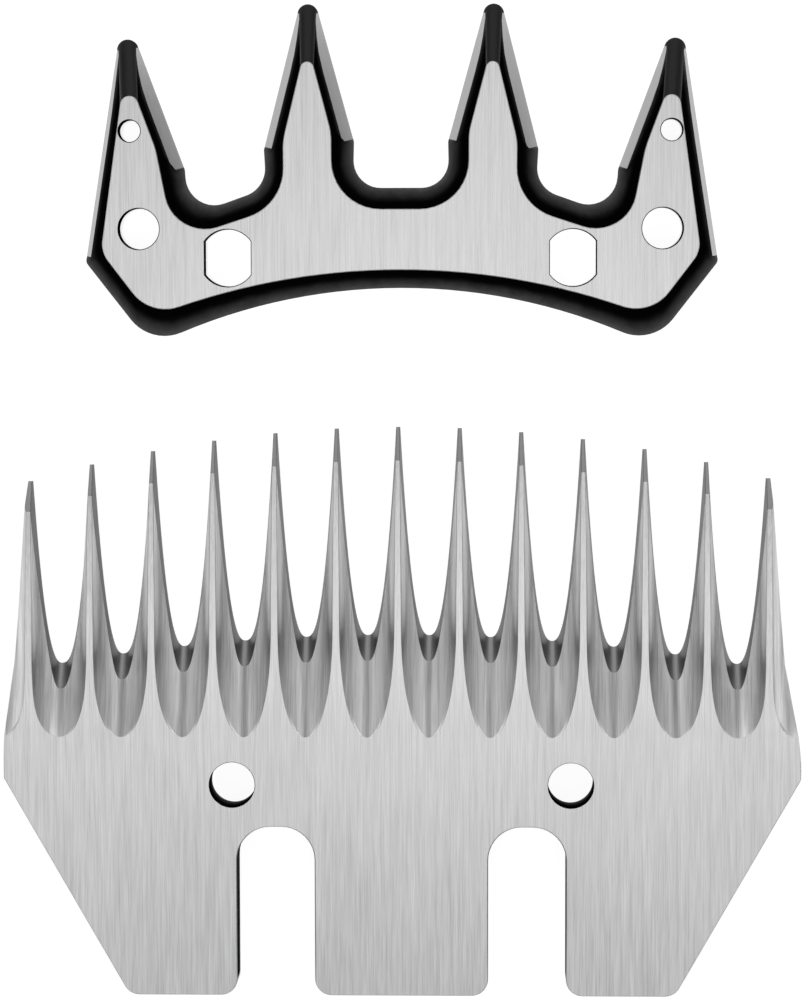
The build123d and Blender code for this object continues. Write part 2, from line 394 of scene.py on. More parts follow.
class CombShape:
    """The comb's measures in the frame, and the height of its teeth at any place."""

    def __init__(self, sizes):
        self.sizes = sizes
        self.rear = COMB_LOW.y
        self.tip = COMB_HIGH.y
        self.top = COMB_HIGH.z
        self.half_pitch = sizes.pitch / 2
        self.runout = self.rear + sizes.flute_end
        self.gap = self.rear + sizes.gap_front
        self.bevel = self.tip - sizes.bevel_length
        self.lean = math.tan(sizes.gap_lean)
        self.neck = self.gap + NECK_LENGTH
        self.band = self.band_start()

    def ridge(self, y):
        """Height of a tooth's ridge."""
        s = self.sizes
        if y <= self.bevel:
            share = clamp((y - self.bevel + s.ridge_fall) / s.ridge_fall)
            return self.top - (self.top - s.bevel_height) * share * share
        return lerp(s.bevel_height, s.tip_height, (y - self.bevel) / s.bevel_length)

    def floor(self, y):
        """Height of a flute's floor and the slope it has there."""
        s = self.sizes
        ahead = y - self.runout
        if ahead < s.flute_ramp:
            return self.top - ahead * math.tan(s.flute_slope), s.flute_slope
        level = self.top - s.flute_ramp * math.tan(s.flute_slope)
        level -= s.flute_bend * (1 - math.cos(s.flute_slope))
        left = s.flute_ramp + s.flute_bend * math.sin(s.flute_slope) - ahead
        slope = math.asin(max(0.0, left) / s.flute_bend)
        return level + s.flute_bend * (1 - math.cos(slope)), slope

    def flute(self, y):
        """Radius of a flute and half its width at the ridges' height."""
        s = self.sizes
        floor, slope = self.floor(y)
        if y > self.neck:
            level_y = min(y, self.bevel)
            height = self.ridge(level_y) - self.floor(level_y)[0]
            share = (level_y - self.neck) / (self.bevel - self.neck)
            half = self.half_pitch - lerp(s.ridge_body, s.ridge_tip, share)
            radius = (half * half + height * height) / (2 * height)
            if y <= self.bevel:
                return radius, half
        else:
            radius = s.flute_radius
        rise = min(radius, (self.ridge(y) - floor) * math.cos(slope))
        return radius, math.sqrt(max(0.0, radius**2 - (radius - rise) ** 2))

    def hollow(self, y, x):
        """Height of the flute's surface at a distance x from its middle."""
        floor, slope = self.floor(y)
        radius = self.flute(y)[0]
        x = min(abs(x), radius)
        return floor + (radius - math.sqrt(radius**2 - x * x)) / math.cos(slope)

    def gap_half(self, depth):
        """Half the width of a gap at this depth from its bottom."""
        s = self.sizes
        return s.gap_half_width * (max(0.0, depth) / s.gap_depth) ** s.gap_power

    def wall(self, y, x):
        """Height of the leaning wall of the gap at a distance x from the gap's middle."""
        s = self.sizes
        reach = s.gap_depth * (x / s.gap_half_width) ** (1 / s.gap_power)
        return s.gap_land + (self.gap + reach - y) / self.lean

    def band_start(self):
        """Where the leaning wall starts to cut the floor of the flute."""
        low, high = self.runout, self.gap
        for _ in range(HALVINGS):
            middle = (low + high) / 2
            if self.wall(middle, 0) > self.floor(middle)[0]:
                low = middle
            else:
                high = middle
        return high

    def stations(self):
        """Places along a tooth, closer together where its shape turns fast."""
        runs = [(self.runout, self.band, 26), (self.band, self.gap, 14), (self.gap, self.bevel, 40)]
        bevel_steps = 6
        places = []
        for start, end, count in runs:
            places += [lerp(start, end, (i / count) ** 2) for i in range(count)]
        places += [lerp(self.bevel, self.tip, i / bevel_steps) for i in range(bevel_steps + 1)]
        return places

    def half_section(self, y, side=None):
        """(x, z, zone of the stretch up to the next point) from the middle of a tooth out to its edge.

        side gives the x of a plain outer side, where no gap is.
        """
        s = self.sizes
        flank_steps, wall_steps = 11, 5
        ridge_z = self.ridge(y)
        radius, flute_half = self.flute(y)
        if side is None:
            # Distances from the middle of the gap: its edge, then where the wall meets the ridge's height.
            edge = self.gap_half(y - self.gap)
            wall_top = self.gap_half(y - self.gap + self.lean * (ridge_z - s.gap_land))
            ridge_at = max(flute_half, wall_top) if y > self.band else flute_half
            meet = 0.0 if y <= self.band else self.meeting(y, edge, ridge_at)
        else:
            edge = meet = self.half_pitch - side
            ridge_at = max(flute_half, edge)
        low = lambda x: self.hollow(y, x)
        depth = ridge_z - self.floor(y)[0]
        break_width = min(s.edge_break * RIDGE_BREAK, depth * RIDGE_BREAK_LIMIT)
        ridge_x = self.half_pitch - ridge_at
        zone = BEVEL if y >= self.bevel else FACE
        points = [(0.0, ridge_z, zone)]
        points.append((max(0.0, ridge_x - break_width), ridge_z, zone))
        rim = ridge_z - break_width * RIDGE_BREAK_STEEPNESS
        points.append((ridge_x, rim, FLUTE))
        first = math.asin(clamp(ridge_at / radius, -1, 1))
        last = math.asin(clamp(meet / radius, -1, 1))
        for i in range(flank_steps + 1):
            x = radius * math.sin(lerp(first, last, i / flank_steps))
            z = min(rim, low(x))
            points.append((self.half_pitch - x, z, FLUTE))
        points[-1] = (*points[-1][:2], WALL)
        for i in range(1, wall_steps + 1):
            x = lerp(meet, edge, i / wall_steps)
            z = points[-1][1] if side is not None else min(self.wall(y, x), low(x), rim)
            points.append((self.half_pitch - x, z, WALL))
        if side is None and y <= self.band:
            points = [(x, z, FLUTE if zone == WALL else zone) for x, z, zone in points]
        points[-1] = (*points[-1][:2], WALL)
        return points

    def meeting(self, y, edge, ridge_at):
        """Distance from the gap's middle at which the leaning wall meets the flute."""
        low, high = edge, ridge_at
        for _ in range(HALVINGS):
            middle = (low + high) / 2
            if self.wall(y, middle) < self.hollow(y, middle):
                low = middle
            else:
                high = middle
        return high

    def shares(self, y):
        """How much a place moves back with the arc of the gaps and with the arc of the tips."""
        if y < self.gap:
            share = clamp((y - self.runout) / (self.band - self.runout))
            return share * (1 + BEND_EASE - BEND_EASE * share), 0.0
        share = (y - self.gap) / (self.tip - self.gap)
        return 1 - share, share

    def tooth_x(self, number):
        """Middle of a tooth, counted from 0 at the left."""
        return self.sizes.row_offset + (number - (self.sizes.tooth_count - 1) / 2) * self.sizes.pitch

    def shoulder_side(self, way):
        """Function from a place along the comb to the x, from the row's middle, of its round shoulder."""
        offset = way * self.sizes.row_offset
        start = (COMB_HIGH.x - offset, self.rear + SHOULDER_FRONT)
        crown = (SHOULDER_ROUND[0] - offset / 2, self.rear + SHOULDER_ROUND[1])
        centre, radius = circle_through(start, crown, (SIDE_KNEE[0], self.rear + SIDE_KNEE[1]))
        return lambda y: centre.x + math.sqrt(radius**2 - (y - centre.y) ** 2)

    def outer_side(self, way):
        """Function from a place along the end tooth to the x, from its middle, of the comb's outer side."""
        s = self.sizes
        tooth = (s.tooth_count - 1) / 2 * s.pitch
        shoulder = self.shoulder_side(way)
        knee = self.rear + SIDE_KNEE[1]
        end = self.tip - arc_drop(s.tip_arc, s.side_half_width - way * s.tip_arc_offset)

        def side(y):
            gap_share, tip_share = self.shares(y)
            y -= gap_share * arc_drop(s.gap_arc, tooth)
            y -= tip_share * arc_drop(s.tip_arc, tooth - way * s.tip_arc_offset)
            if y < knee:
                return shoulder(y) - tooth
            return lerp(SIDE_KNEE[0], s.side_half_width, (y - knee) / (end - knee)) - tooth

        return side


def tooth_mesh(shape, outer_way=0):
    """One comb tooth as closed cross-sections joined along its length.

    outer_way is 0 for a tooth with a gap on both sides, and 1 or -1 for the tooth at that end of the row.
    """
    shell = Shell()
    layers = [shell.mesh.verts.layers.float.new(name) for name in (GAP_SHARE, TIP_SHARE)]
    outer = shape.outer_side(outer_way) if outer_way else None
    shares = []
    rings, zones = [], []
    stations = shape.stations()
    for y in stations:
        halves = []
        for way in (-1, 1):
            side = outer(y) if way == outer_way else None
            halves.append(shape.half_section(y, side))
        left, right = halves
        row = [(-x, z) for x, z, _ in reversed(left)] + [(x, z) for x, z, _ in right[1:]]
        row_zones = [zone for _, _, zone in reversed(left[:-1])] + [zone for _, _, zone in right[:-1]]
        foot = [(right[-1][0], 0.0), (0.0, 0.0), (-left[-1][0], 0.0)]
        # Round the section: top from left to right, down, back along the ground, and up the left side.
        rings.append([shell.mesh.verts.new((x, y, z)) for x, z in row + foot])
        zones.append(row_zones + [WALL, GROUND, GROUND, WALL])
        shares.append(shape.shares(y))
    count = len(rings[0])
    side_right, side_left = count - 4, count - 1
    for k in range(len(rings) - 1):
        inside = stations[k + 1] <= shape.gap + SAME_PLACE
        for i in range(count):
            way = {side_right: 1, side_left: -1}.get(i)
            if way and way != outer_way and inside:
                continue
            n = (i + 1) % count
            shell.face([rings[k][i], rings[k][n], rings[k + 1][n], rings[k + 1][i]], zones[k][i])
    shell.face(rings[-1], BEVEL)
    for ring, pair in zip(rings, shares):
        for vert in ring:
            for layer, share in zip(layers, pair):
                vert[layer] = share
    return shell.finish("comb_tooth")


# ---------------------------------------------------------------- comb: row of teeth


def node(tree, kind, **inputs):
    """New node whose inputs, by name or as i and a number, are set to values or linked from sockets.

    Names that start with set_ are the node's own properties.
    """
    made = tree.nodes.new(kind)
    for key, value in inputs.items():
        if key.startswith("set_"):
            setattr(made, key[4:], value)
    for key, value in inputs.items():
        if key.startswith("set_"):
            continue
        socket = made.inputs[int(key[1:])] if key[0] == "i" and key[1:].isdigit() else made.inputs[key]
        if isinstance(value, bpy.types.NodeSocket):
            tree.links.new(value, socket)
        else:
            socket.default_value = value
    return made


def calc(tree, operation, *values):
    """Result of a Math node."""
    inputs = {f"i{i}": value for i, value in enumerate(values)}
    return node(tree, "ShaderNodeMath", set_operation=operation, **inputs).outputs[0]


def add_inputs(tree, names):
    """Named inputs on a geometry tree, from (name, socket type) pairs."""
    tree.interface.new_socket("Geometry", in_out="INPUT", socket_type="NodeSocketGeometry")
    for name, kind in names:
        tree.interface.new_socket(name, in_out="INPUT", socket_type=kind)
    tree.interface.new_socket("Geometry", in_out="OUTPUT", socket_type="NodeSocketGeometry")
    return tree.nodes.new("NodeGroupInput").outputs


def tooth_row_tree(materials):
    """Geometry nodes that set a row of teeth on the comb's body and bend it to its two arcs."""
    tree = bpy.data.node_groups.new("comb_tooth_row", "GeometryNodeTree")
    given = add_inputs(
        tree,
        [
            ("Tooth", "NodeSocketObject"),
            ("Left end tooth", "NodeSocketObject"),
            ("Right end tooth", "NodeSocketObject"),
            ("Teeth", "NodeSocketInt"),
            ("Pitch", "NodeSocketFloat"),
            ("Row offset", "NodeSocketFloat"),
            ("Gap arc", "NodeSocketFloat"),
            ("Tip arc", "NodeSocketFloat"),
            ("Tip arc offset", "NodeSocketFloat"),
            ("Seam", "NodeSocketFloat"),
        ],
    )
    pitch = given["Pitch"]
    centre = given["Row offset"]
    steps = calc(tree, "SUBTRACT", given["Teeth"], 1.0)
    end_x = calc(tree, "MULTIPLY", steps, calc(tree, "MULTIPLY", pitch, 0.5))

    first = calc(tree, "ADD", calc(tree, "SUBTRACT", centre, end_x), pitch)
    start = node(tree, "ShaderNodeCombineXYZ", X=first).outputs[0]
    step = node(tree, "ShaderNodeCombineXYZ", X=pitch).outputs[0]
    inner = calc(tree, "SUBTRACT", given["Teeth"], 2.0)
    line = tree.nodes.new("GeometryNodeMeshLine")
    line.mode = "OFFSET"
    tree.links.new(inner, line.inputs["Count"])
    tree.links.new(start, line.inputs["Start Location"])
    tree.links.new(step, line.inputs["Offset"])
    tooth = node(tree, "GeometryNodeObjectInfo", Object=given["Tooth"]).outputs["Geometry"]
    row = node(tree, "GeometryNodeInstanceOnPoints", Points=line.outputs[0], Instance=tooth).outputs[0]

    join_row = tree.nodes.new("GeometryNodeJoinGeometry")
    tree.links.new(row, join_row.inputs[0])
    for name, operation in (("Left end tooth", "SUBTRACT"), ("Right end tooth", "ADD")):
        end = node(tree, "GeometryNodeObjectInfo", Object=given[name]).outputs["Geometry"]
        place = node(tree, "ShaderNodeCombineXYZ", X=calc(tree, operation, centre, end_x)).outputs[0]
        moved = node(tree, "GeometryNodeTransform", Geometry=end, Translation=place).outputs[0]
        tree.links.new(moved, join_row.inputs[0])
    realized = node(tree, "GeometryNodeRealizeInstances", Geometry=join_row.outputs[0]).outputs[0]

    position = tree.nodes.new("GeometryNodeInputPosition").outputs[0]
    x = calc(tree, "SUBTRACT", node(tree, "ShaderNodeSeparateXYZ", Vector=position).outputs[0], centre)
    # Each tip moves back as a whole, by the arc's fall at the middle of its tooth.
    place = calc(tree, "ROUND", calc(tree, "DIVIDE", calc(tree, "ADD", x, end_x), pitch))
    middle = calc(tree, "SUBTRACT", calc(tree, "MULTIPLY", place, pitch), end_x)
    from_crest = calc(tree, "SUBTRACT", middle, given["Tip arc offset"])
    shift = None
    for arc, across, name in (("Gap arc", x, GAP_SHARE), ("Tip arc", from_crest, TIP_SHARE)):
        radius = given[arc]
        squares = [calc(tree, "MULTIPLY", value, value) for value in (radius, across)]
        inside = calc(tree, "SUBTRACT", *squares)
        drop = calc(tree, "SUBTRACT", calc(tree, "SQRT", inside), radius)
        share = node(tree, "GeometryNodeInputNamedAttribute", set_data_type="FLOAT", Name=name).outputs[0]
        part = calc(tree, "MULTIPLY", drop, share)
        shift = part if shift is None else calc(tree, "ADD", shift, part)
    offset = node(tree, "ShaderNodeCombineXYZ", Y=shift).outputs[0]
    bent = node(tree, "GeometryNodeSetPosition", Geometry=realized, Offset=offset).outputs[0]

    whole = tree.nodes.new("GeometryNodeJoinGeometry")
    tree.links.new(given["Geometry"], whole.inputs[0])
    tree.links.new(bent, whole.inputs[0])
    merged = node(tree, "GeometryNodeMergeByDistance", Geometry=whole.outputs[0], Distance=given["Seam"])
    last = node(tree, "GeometryNodeRealizeInstances", Geometry=merged.outputs[0]).outputs[0]
    zone = node(tree, "GeometryNodeInputNamedAttribute", set_data_type="INT", Name=ZONE).outputs[0]
    for index, material in enumerate(materials):
        chosen = node(tree, "FunctionNodeCompare", set_data_type="INT", set_operation="EQUAL")
        tree.links.new(zone, chosen.inputs[2])
        chosen.inputs[3].default_value = index
        chosen = chosen.outputs[0]
        painted = node(tree, "GeometryNodeSetMaterial", Geometry=last, Selection=chosen, Material=material)
        last = painted.outputs[0]
    tree.links.new(last, tree.nodes.new("NodeGroupOutput").inputs[0])
    return tree


def set_inputs(modifier, values):
    """Sets a modifier's named inputs by their sockets' identifiers."""
    for item in modifier.node_group.interface.items_tree:
        if item.in_out == "INPUT" and item.name in values:
            modifier[item.identifier] = values[item.name]


def comb_body_mesh(shape):
    """The comb's plate up to the line on which its flutes run out, with slots, holes and broken edges."""
    s = shape.sizes
    rear = shape.rear
    last = s.tooth_count - 1
    # Along the front line the plate has the same points as the teeth that join it.
    front = []
    for k in range(s.tooth_count):
        for way in (-1, 1):
            outer = k == (last if way > 0 else 0)
            side = shape.outer_side(way)(shape.runout) if outer else None
            front += [shape.tooth_x(k) + way * x for x, _, _ in shape.half_section(shape.runout, side)]
    front = sorted({round(x / MM, 5) for x in front})
    front = [x * MM for i, x in enumerate(front) if i == 0 or (x - front[i - 1]) * MM > 2 * SAME_PLACE]

    inner_wall, outer_wall = s.slot_offset - s.slot_width / 2, s.slot_offset + s.slot_width / 2
    right_half = [
        (inner_wall, rear, TANG_CORNER),
        (inner_wall, rear + s.slot_depth, SLOT_CORNER),
        (outer_wall, rear + s.slot_depth, SLOT_CORNER),
        (outer_wall, rear, TANG_CORNER),
        (REAR_HALF_WIDTH, rear, REAR_CORNER),
        (COMB_HIGH.x, rear + SHOULDER_REAR, SHOULDER_CORNER),
        (COMB_HIGH.x, rear + SHOULDER_FRONT, 0),
    ]
    corner_steps, hole_steps = 10, 56
    left_half = [(-x, y, radius) for x, y, radius in reversed(right_half)]
    outline = rounded(left_half + right_half, corner_steps)

    # The shoulders round off between their straight part and the front line.
    steps = 8
    right, left = [], []
    for way, points in ((1, right), (-1, left)):
        shoulder = shape.shoulder_side(way)
        for i in range(1, steps):
            y = lerp(rear + SHOULDER_FRONT, shape.runout, i / steps)
            points.append(Vector((way * shoulder(y) + s.row_offset, y)))
    front_line = [Vector((x, shape.runout)) for x in reversed(front)]
    loop = outline + right + front_line + list(reversed(left))
    is_front = [False] * (len(outline) + len(right)) + [True] * len(front_line) + [False] * len(left)

    shell = Shell()
    breaks = [0.0 if flag else s.edge_break for flag in is_front]
    # The broken edge fades out where the shoulders meet the teeth.
    for i in range(steps - 1):
        breaks[len(outline) + i] = s.edge_break * (1 - (i + 1) / steps)
        breaks[len(loop) - len(left) + i] = s.edge_break * (i + 1) / steps
    top = shell.ring(moved_in(loop, breaks), shape.top)
    shoulder_ring = shell.ring(loop, [shape.top - b for b in breaks])
    foot = shell.ring(loop, 0.0)
    count = len(loop)
    for i in range(count):
        k = (i + 1) % count
        if is_front[i] and is_front[k]:
            continue
        # Slot walls take the black coat, whose painted sheen greys their lower part.
        zone = COAT if slot_side(loop[i], s) else WALL
        shell.face([foot[i], foot[k], shoulder_ring[k], shoulder_ring[i]], zone)
        shell.face([shoulder_ring[i], shoulder_ring[k], top[k], top[i]], GROUND)
    # Under the plate the front line has only the teeth's own lower points.
    low_x = set()
    for k in range(s.tooth_count):
        low_x.update(round((shape.tooth_x(k) + d * shape.half_pitch) / MM, 4) for d in (-1, 0, 1))
    kept = []
    for i, vert in enumerate(foot):
        ends = is_front[i] and not (is_front[i - 1] and is_front[(i + 1) % count])
        if not is_front[i] or ends or round(vert.co.x / MM, 4) in low_x:
            kept.append(vert)
        else:
            shell.mesh.verts.remove(vert)
    holes = []
    for way in (-1, 1):
        ring = circle(way * s.pin_spacing / 2, rear + s.pin_front, s.pin_hole / 2, hole_steps)
        holes.append(drill(shell, ring, shape.top, s.edge_break * HOLE_BREAK, s.coat_depth))
    shell.fill([top] + [upper for upper, _ in holes], FACE, True)
    shell.fill([kept] + [lower for _, lower in holes], GROUND, False)
    return shell.finish("comb_body")


def slot_side(point, sizes):
    """Whether a point of the comb's outline lies on the wall of a screw slot."""
    inside = abs(abs(point.x) - sizes.slot_offset) <= sizes.slot_width / 2 + 10 * SAME_PLACE
    return inside and point.y > COMB_LOW.y + TANG_CORNER / 2


class SHEARING_OT_comb(bpy.types.Operator):
    """Builds the comb: a slotted plate with thirteen fluted, tapering teeth"""

    bl_idname = "shearing.comb"
    bl_label = "Build comb"

    def execute(self, context):
        sizes = context.scene.shearing_comb
        materials = finishes(context.scene.shearing_finishes)
        shape = CombShape(sizes)
        teeth = {
            "Tooth": new_object("tooth", tooth_mesh(shape)),
            "Left end tooth": new_object("left_end_tooth", tooth_mesh(shape, -1)),
            "Right end tooth": new_object("right_end_tooth", tooth_mesh(shape, 1)),
        }
        source = new_object("comb_source", comb_body_mesh(shape))
        modifier = source.modifiers.new("Tooth row", "NODES")
        modifier.node_group = tooth_row_tree(materials)
        lengths = {
            "Pitch": sizes.pitch,
            "Row offset": sizes.row_offset,
            "Gap arc": sizes.gap_arc,
            "Tip arc": sizes.tip_arc,
            "Tip arc offset": sizes.tip_arc_offset,
            "Seam": 10 * SAME_PLACE,
        }
        set_inputs(modifier, {**teeth, **lengths, "Teeth": sizes.tooth_count})
        evaluated = source.evaluated_get(context.evaluated_depsgraph_get())
        data = bpy.data.meshes.new_from_object(evaluated)
        source.modifiers.remove(modifier)
        for helper in [source, *teeth.values()]:
            bpy.data.objects.remove(helper)
        finish_blade(data, "comb_blade", "comb", "comb", materials)
        return {"FINISHED"}


# ---------------------------------------------------------------- cutter

# Right half of the cutter's outline before rounding, from the middle gap to the heel, in millimetres:
# x, y and corner radius at the ground face, the same at the fork side, and what the side up to the next
# corner is.
PLAIN, STRIP, OUTER_STRIP = range(3)
CUTTER_CORNERS = [
    (4.58, 29.98, 2.60, 6.42, 27.93, 4.60, PLAIN),
    (4.48, 34.35, 0.50, 6.45, 35.10, 6.00, STRIP),
    (8.85, 50.20, 0.99, 8.74, 43.70, 0.65, STRIP),
    (13.05, 33.62, 0.50, 11.05, 34.30, 6.00, PLAIN),
    (12.84, 29.97, 2.70, 11.00, 28.32, 4.80, PLAIN),
    (20.32, 27.30, 2.78, 21.29, 24.93, 3.80, PLAIN),
    (20.63, 31.74, 0.50, 23.00, 33.60, 8.00, STRIP),
    (26.36, 47.04, 1.02, 25.86, 41.23, 0.87, OUTER_STRIP),
    (30.13, 22.95, 0.70, 28.27, 23.95, 2.60, PLAIN),
    (23.90, 14.95, 4.10, 23.55, 17.78, 3.90, PLAIN),
]
TIP_CORNERS = (2, 7)  # places of the tooth tips in that list
STRIP_SHARES = (0.008, 0.08, 0.18, 0.3, 0.45, 0.6, 0.8, 0.985)  # where a strip has its points, from the tip
HOLES = [(25.50, 35.30, 2.05), (24.68, 26.10, 3.85)]  # x, y, diameter
FLAT_HOLE = (16.28, 23.35, 5.37, 4.36)  # x, y, diameter, width across its flats


def heel_fillet(before, corner, centre, radius, round_radius, steps):
    """Arc of round_radius between a straight side and the hollow heel arc that both end at the corner."""
    side = (corner - before).normalized()
    inward = Vector((-side.y, side.x))
    base = before + inward * round_radius
    # The rounding's centre lies on that offset line, round_radius outside the heel's circle.
    offset = base - centre
    along = offset.dot(side)
    reach = radius + round_radius
    root = math.sqrt(along * along - offset.length_squared + reach * reach)
    options = [base + side * (-along + sign * root) for sign in (1, -1)]
    middle = min(options, key=lambda p: (p - corner).length)
    touch_side = middle - inward * round_radius
    touch_heel = centre + (middle - centre) * (radius / reach)
    return arc_between(middle, touch_side, touch_heel, steps)


def heel_fillet_mirrored(after, corner, centre, radius, round_radius, steps):
    """The same rounding at the other end of the heel arc, where the straight side leaves the corner."""
    flip = lambda p: Vector((-p.x, p.y))
    arc = heel_fillet(flip(after), flip(corner), flip(centre), radius, round_radius, steps)
    return [flip(p) for p in reversed(arc)]


def cutter_outline(corners, level, heel_y, tip_numbers):
    """Rounded outline at the ground face or the fork side, with the same points at both levels.

    Returns (point, kind of side, share of the way from tip to root, whether it rounds a tip) for each.
    """
    steps, heel_steps = 10, 28
    points = [Vector(c[3 * level : 3 * level + 2]) * MM for c in corners]
    count = len(points)
    centre, heel_radius = circle_through(points[0], (0.0, heel_y), points[-1])
    rounds = []
    for i, corner in enumerate(corners):
        radius = corner[3 * level + 2] * MM
        if i == 0:
            arc = heel_fillet_mirrored(points[1], points[0], centre, heel_radius, radius, steps)
        elif i == count - 1:
            arc = heel_fillet(points[i - 1], points[i], centre, heel_radius, radius, steps)
        else:
            arc = fillet(points[i - 1], points[i], points[i + 1], radius, steps)
        rounds.append(arc)
    outline = []
    for i, arc in enumerate(rounds):
        outline += [(p, PLAIN, 1.0, i in tip_numbers) for p in arc]
        if i == count - 1:
            heel = arc_between(centre, arc[-1], rounds[0][0], heel_steps)[1:-1]
            outline += [(p, PLAIN, 1.0, False) for p in heel]
            continue
        kind = corners[i][6]
        start, end = arc[-1], rounds[i + 1][0]
        if kind != PLAIN:
            outline += strip_points(start, end, kind, i in tip_numbers)
    return outline


def strip_points(start, end, kind, from_tip):
    """Points along a ground side, close together at both ends of the strip."""
    if not from_tip:
        return list(reversed(strip_points(end, start, kind, True)))
    return [(start.lerp(end, share), kind, share, False) for share in STRIP_SHARES]


def whole_outline():
    """All corners anticlockwise from the right heel corner, and the numbers of the four tip corners."""
    right = list(reversed(CUTTER_CORNERS))
    # A side's kind belongs to its first corner, so on the right half it moves to the corner before.
    kinds = [corner[6] for corner in right[1:]] + [PLAIN]
    right = [(*corner[:6], kind) for corner, kind in zip(right, kinds)]
    left = [(-x, y, radius, -over_x, *rest) for x, y, radius, over_x, *rest in CUTTER_CORNERS]
    last = len(CUTTER_CORNERS) - 1
    tips = [last - i for i in TIP_CORNERS] + [last + 1 + i for i in TIP_CORNERS]
    return right + left, tips


def flat_hole_loop(x, y, diameter, width):
    """Round hole with two flats, anticlockwise."""
    radius = diameter / 2
    turn = math.acos(width / diameter)
    reach = math.pi / 2 - turn
    steps = 18
    loop = []
    for middle in (math.pi / 2, -math.pi / 2):
        for i in range(steps + 1):
            a = middle + lerp(-reach, reach, i / steps)
            loop.append(Vector((x + radius * math.cos(a), y + radius * math.sin(a))))
    return loop


class SHEARING_OT_cutter(bpy.types.Operator):
    """Builds the cutter: four pointed teeth with coated flanks, ground strips and a brushed face"""

    bl_idname = "shearing.cutter"
    bl_label = "Build cutter"

    def execute(self, context):
        sizes = context.scene.shearing_cutter
        materials = finishes(context.scene.shearing_finishes)
        corners, tips = whole_outline()
        low = cutter_outline(corners, 0, sizes.heel_ground, tips)
        high = cutter_outline(corners, 1, sizes.heel_fork, tips)
        shell = Shell()
        face_ring, foot = cutter_flanks(shell, sizes, low, high)
        hole_steps = 40
        loops = []
        for way in (-1, 1):
            loops += [circle(way * x * MM, y * MM, d / 2 * MM, hole_steps) for x, y, d in HOLES]
            x, y, diameter, width = (value * MM for value in FLAT_HOLE)
            loops.append(flat_hole_loop(way * x, y, diameter, width))
        holes = [drill(shell, loop, CUTTER_HIGH.z, sizes.hole_break, sizes.coat_depth) for loop in loops]
        shell.fill([face_ring] + [upper for upper, _ in holes], FACE, True)
        shell.fill([foot] + [lower for _, lower in holes], GROUND, False)
        data = shell.finish("cutter_blade")
        finish_blade(data, "cutter_blade", "cutter", "cutter", materials)
        return {"FINISHED"}


def inward_at(loop, i):
    """Direction square to an anticlockwise loop at one of its points, into the steel."""
    along = (loop[(i + 1) % len(loop)] - loop[i - 1]).normalized()
    return Vector((-along.y, along.x))


STRIP_GROWTH = 0.42  # share of a strip's length over which it widens from the tip
STRIP_TIP_RISE = 0.35  # share of a strip's rise that it has at the tip


def cutter_flanks(shell, sizes, low, high):
    """Everything between the ground face and the fork-side face; returns their two rings."""
    base = [point for point, _, _, _ in low]
    over = [point for point, _, _, _ in high]
    kinds = [kind for _, kind, _, _ in low]
    tips = [is_tip for _, _, _, is_tip in low]
    count = len(base)
    # For every point of the outline: height of its upright edge, and how far in and at what height the
    # flank turns steep.
    turns = []
    for i, (_, kind, from_tip, is_tip) in enumerate(low):
        inward = inward_at(base, i)
        reach = (over[i] - base[i]).dot(inward)
        if kind == PLAIN:
            if is_tip:
                turns.append((sizes.tip_edge, sizes.tip_round, sizes.tip_edge + sizes.tip_round))
            else:
                turns.append((sizes.coat_edge, sizes.flange_share * reach, sizes.flange_height))
            continue
        full = sizes.strip_right if inward.x < 0 else sizes.strip_left
        if kind == OUTER_STRIP:
            full = sizes.outer_strip
        grown = math.sin(math.pi / 2 * clamp(from_tip / STRIP_GROWTH))
        width = lerp(sizes.tip_strip, full, grown)
        rise = sizes.strip_rise * lerp(STRIP_TIP_RISE, 1.0, grown)
        turns.append((sizes.ground_edge, width, sizes.ground_edge + rise))
    foot = shell.ring(base, 0.0)
    rings = [shell.ring(base, [edge for edge, _, _ in turns])]
    corner = [base[i] + inward_at(base, i) * turns[i][1] for i in range(count)]
    lower_steps, upper_steps = 3, 6
    for k in range(1, lower_steps + 1):
        share = k / lower_steps
        points = [base[i].lerp(corner[i], share) for i in range(count)]
        rings.append(shell.ring(points, [lerp(edge, height, share) for edge, _, height in turns]))
    rim = CUTTER_HIGH.z - sizes.edge_break
    for k in range(1, upper_steps + 1):
        share = k / upper_steps
        points = [corner[i].lerp(over[i], share) for i in range(count)]
        rings.append(shell.ring(points, [lerp(height, rim, share) for _, _, height in turns]))
    face_ring = shell.ring(moved_in(over, [sizes.edge_break] * count), CUTTER_HIGH.z)
    shell.band(foot, rings[0], [GROUND if kind != PLAIN else COAT for kind in kinds])
    for k in range(len(rings) - 1):
        zones = []
        for i in range(count):
            strip = kinds[i] != PLAIN and kinds[(i + 1) % count] != PLAIN
            black = SCALE if tips[i] else COAT
            zones.append(GROUND if strip and k < lower_steps else black)
        shell.band(rings[k], rings[k + 1], zones)
    shell.band(rings[-1], face_ring, GROUND)
    return face_ring, foot


# ---------------------------------------------------------------- finishes


# Sizes of the grain's cells across and along the blades.
FINE_STREAK = (0.11 * MM, 5.0 * MM)
COARSE_STREAK = (0.45 * MM, 14.0 * MM)
CLOUD = (9.0 * MM, 22.0 * MM)
LANE_STREAK_RISE = 4.0 * MM
FINE_SHARE = 0.6  # of the fine streaks in the mix
CLOUD_CONTRAST = 0.015
SPECK = (0.25 * MM, 0.25 * MM)
PATCH = (1.6 * MM, 2.4 * MM)
MOST_NOISE = (0.3, 0.7)  # most values of a noise lie between these
STEEL_BUMP = 0.01 * MM
COAT_BUMP = 0.03 * MM

PAINTED_MIDDLE_BAND = (0.40, 0.485)  # distances from a ridge, in pitches, over which the painted middle tone comes in
# Painted sheen on the black coat: grey low on the flanks in place of the light their rounded edges catch.
PAINTED_SHEEN_FADE = (0.9 * MM, 3.4 * MM)  # heights at which the coat's painted sheen is full and gone
PAINTED_SHEEN_UNEVEN = 0.9 * MM
PAINTED_SHEEN_CURVE = 2.6
